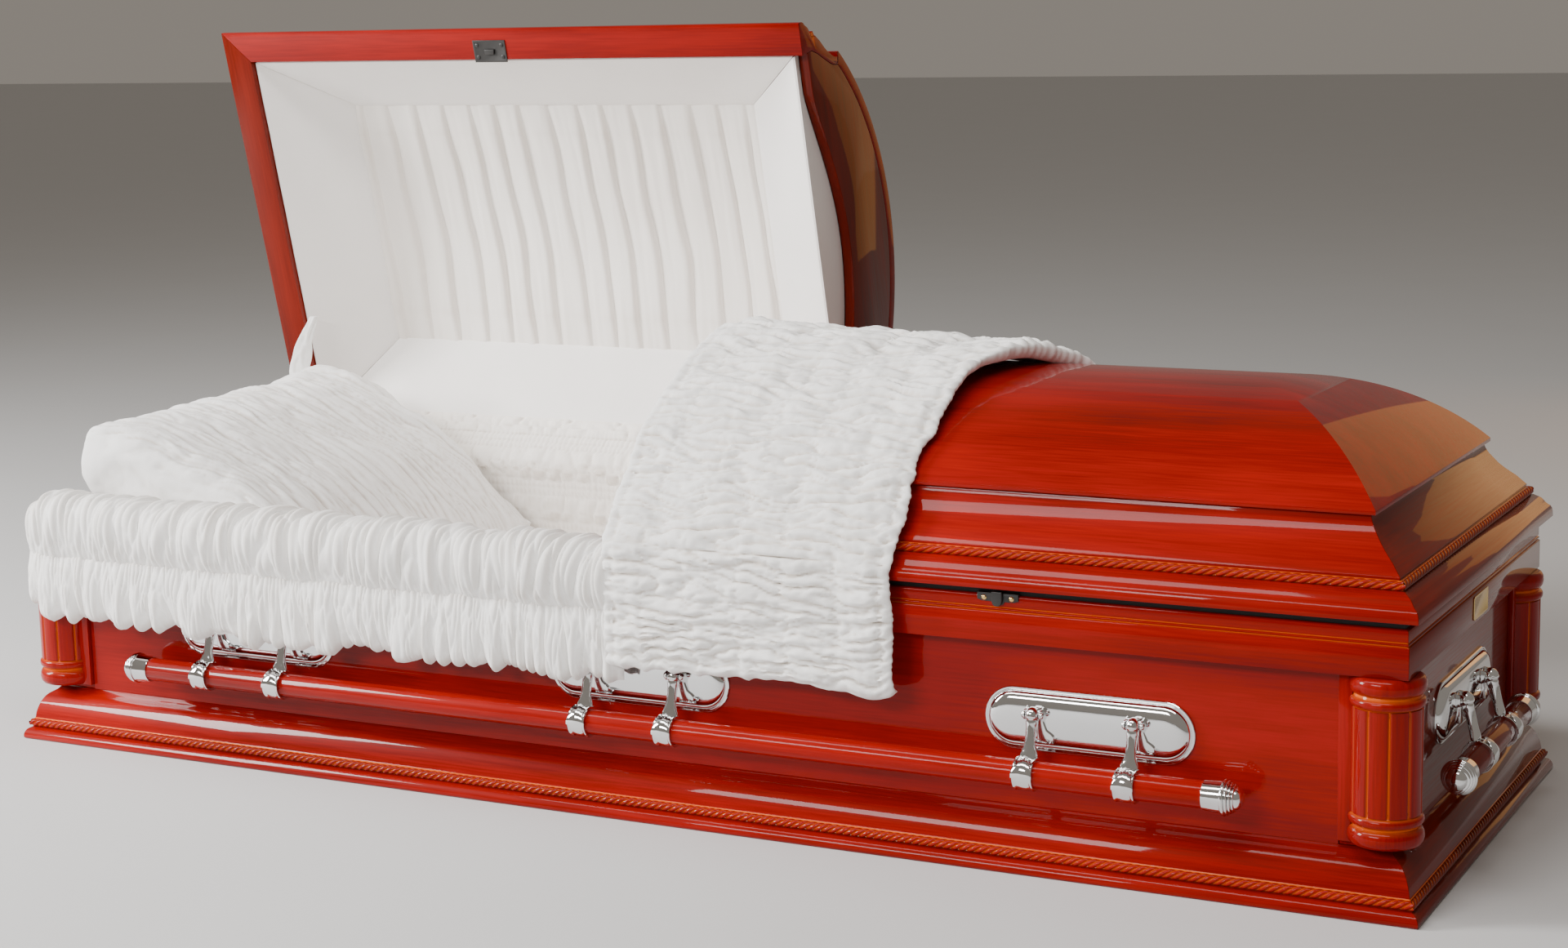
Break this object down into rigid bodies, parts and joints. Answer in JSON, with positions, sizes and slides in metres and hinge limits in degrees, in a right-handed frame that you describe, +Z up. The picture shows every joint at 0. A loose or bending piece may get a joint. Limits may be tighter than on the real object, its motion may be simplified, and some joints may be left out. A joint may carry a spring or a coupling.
{
  "type": "funeral casket",
  "caption": "Half-couch wooden casket with hinged crowned lids, rope mouldings, turned corner columns, swing-bar handles and a gathered cloth interior.",
  "frame": {"origin": "middle of the base's underside", "axes": "+X along the length towards the foot end, +Y to the hinge side at the back, +Z up"},
  "size_m": [2.126, 0.8682, 1.0272],
  "materials": {
    "gloss_wood": "high gloss red lacquer over hardwood",
    "base_wood": "high gloss red lacquer, rubbed darker in the notches",
    "bar_wood": "high gloss red lacquer on turned bars",
    "bare_board": "bare board",
    "chrome": "polished",
    "brass": "polished, bare of text",
    "black_fitting": "black oxide",
    "gasket": "matte",
    "lining_cloth": "ivory crepe, shirred",
    "border_cloth": "plain ivory crepe over board",
    "throw_cloth": "white crepe, gathered",
    "pillow_cloth": "white crepe, pleated"
  },
  "bodies": {
    "base": {"bottom_board": "bare_board", "base_moulding_front": "base_wood", "base_moulding_back": "base_wood", "base_moulding_head": "base_wood", "base_moulding_foot": "base_wood", "panel_front": "gloss_wood", "panel_back": "gloss_wood", "panel_head": "gloss_wood", "panel_foot": "gloss_wood", "top_rail_front": "gloss_wood", "top_rail_back": "gloss_wood", "top_rail_head": "gloss_wood", "top_rail_foot": "gloss_wood", "column_front_head": "gloss_wood", "column_back_head": "gloss_wood", "column_front_foot": "gloss_wood", "column_back_foot": "gloss_wood", "body_lining": "lining_cloth", "mattress": "lining_cloth", "pillow": "pillow_cloth", "front_apron": "throw_cloth", "lid_stay": "border_cloth", "front_handle_plate_head": "chrome", "front_handle_plate_middle": "chrome", "front_handle_plate_foot": "chrome", "back_handle_plate_head": "chrome", "back_handle_plate_middle": "chrome", "back_handle_plate_foot": "chrome", "head_handle_plate": "chrome", "foot_handle_plate": "chrome", "name_plate": "brass", "latch": "black_fitting", "lid_hinge": "black_fitting"},
    "head_lid": {"head_lid_rim_front": "gloss_wood", "head_lid_rim_back": "gloss_wood", "head_lid_rim_head": "gloss_wood", "head_lid_crown": "gloss_wood", "head_lid_header": "gloss_wood", "head_lid_border": "border_cloth", "head_lid_panel": "lining_cloth", "head_lid_catch": "black_fitting"},
    "foot_lid": {"foot_lid_rim_front": "gloss_wood", "foot_lid_rim_back": "gloss_wood", "foot_lid_rim_foot": "gloss_wood", "foot_lid_crown": "gloss_wood", "foot_lid_header": "gloss_wood", "foot_lid_lining": "border_cloth", "overlay": "throw_cloth"},
    "front_bar": {"front_bar": "bar_wood", "front_arm_1": "chrome", "front_arm_2": "chrome", "front_arm_3": "chrome", "front_arm_4": "chrome", "front_arm_5": "chrome", "front_arm_6": "chrome"},
    "back_bar": {"back_bar": "bar_wood"},
    "head_bar": {"head_bar": "bar_wood"},
    "foot_bar": {"foot_bar": "bar_wood", "foot_arm_1": "chrome", "foot_arm_2": "chrome"}
  },
  "joints": [
    {"name": "head_lid_hinge", "type": "hinge", "parent": "base", "child": "head_lid", "pos_m": [0, 0.3395, 0.353], "axis": [1, 0, 0], "range_deg": [0, 76.8], "deforming": ["pillow", "front_apron", "lid_stay", "overlay"]},
    {"name": "foot_lid_hinge", "type": "hinge", "parent": "base", "child": "foot_lid", "pos_m": [0, 0.3395, 0.353], "axis": [-1, 0, 0], "range_deg": [0, 76.8]},
    {"name": "front_bar_swing", "type": "hinge", "parent": "base", "child": "front_bar", "pos_m": [0, -0.338, 0.198], "axis": [-1, 0, 0], "range_deg": [0, 75]},
    {"name": "back_bar_swing", "type": "hinge", "parent": "base", "child": "back_bar", "pos_m": [0, 0.338, 0.198], "axis": [1, 0, 0], "range_deg": [0, 75]},
    {"name": "head_bar_swing", "type": "hinge", "parent": "base", "child": "head_bar", "pos_m": [-1.024, 0, 0.198], "axis": [0, 1, 0], "range_deg": [0, 75]},
    {"name": "foot_bar_swing", "type": "hinge", "parent": "base", "child": "foot_bar", "pos_m": [1.024, 0, 0.198], "axis": [0, -1, 0], "range_deg": [0, 75]}
  ]
}
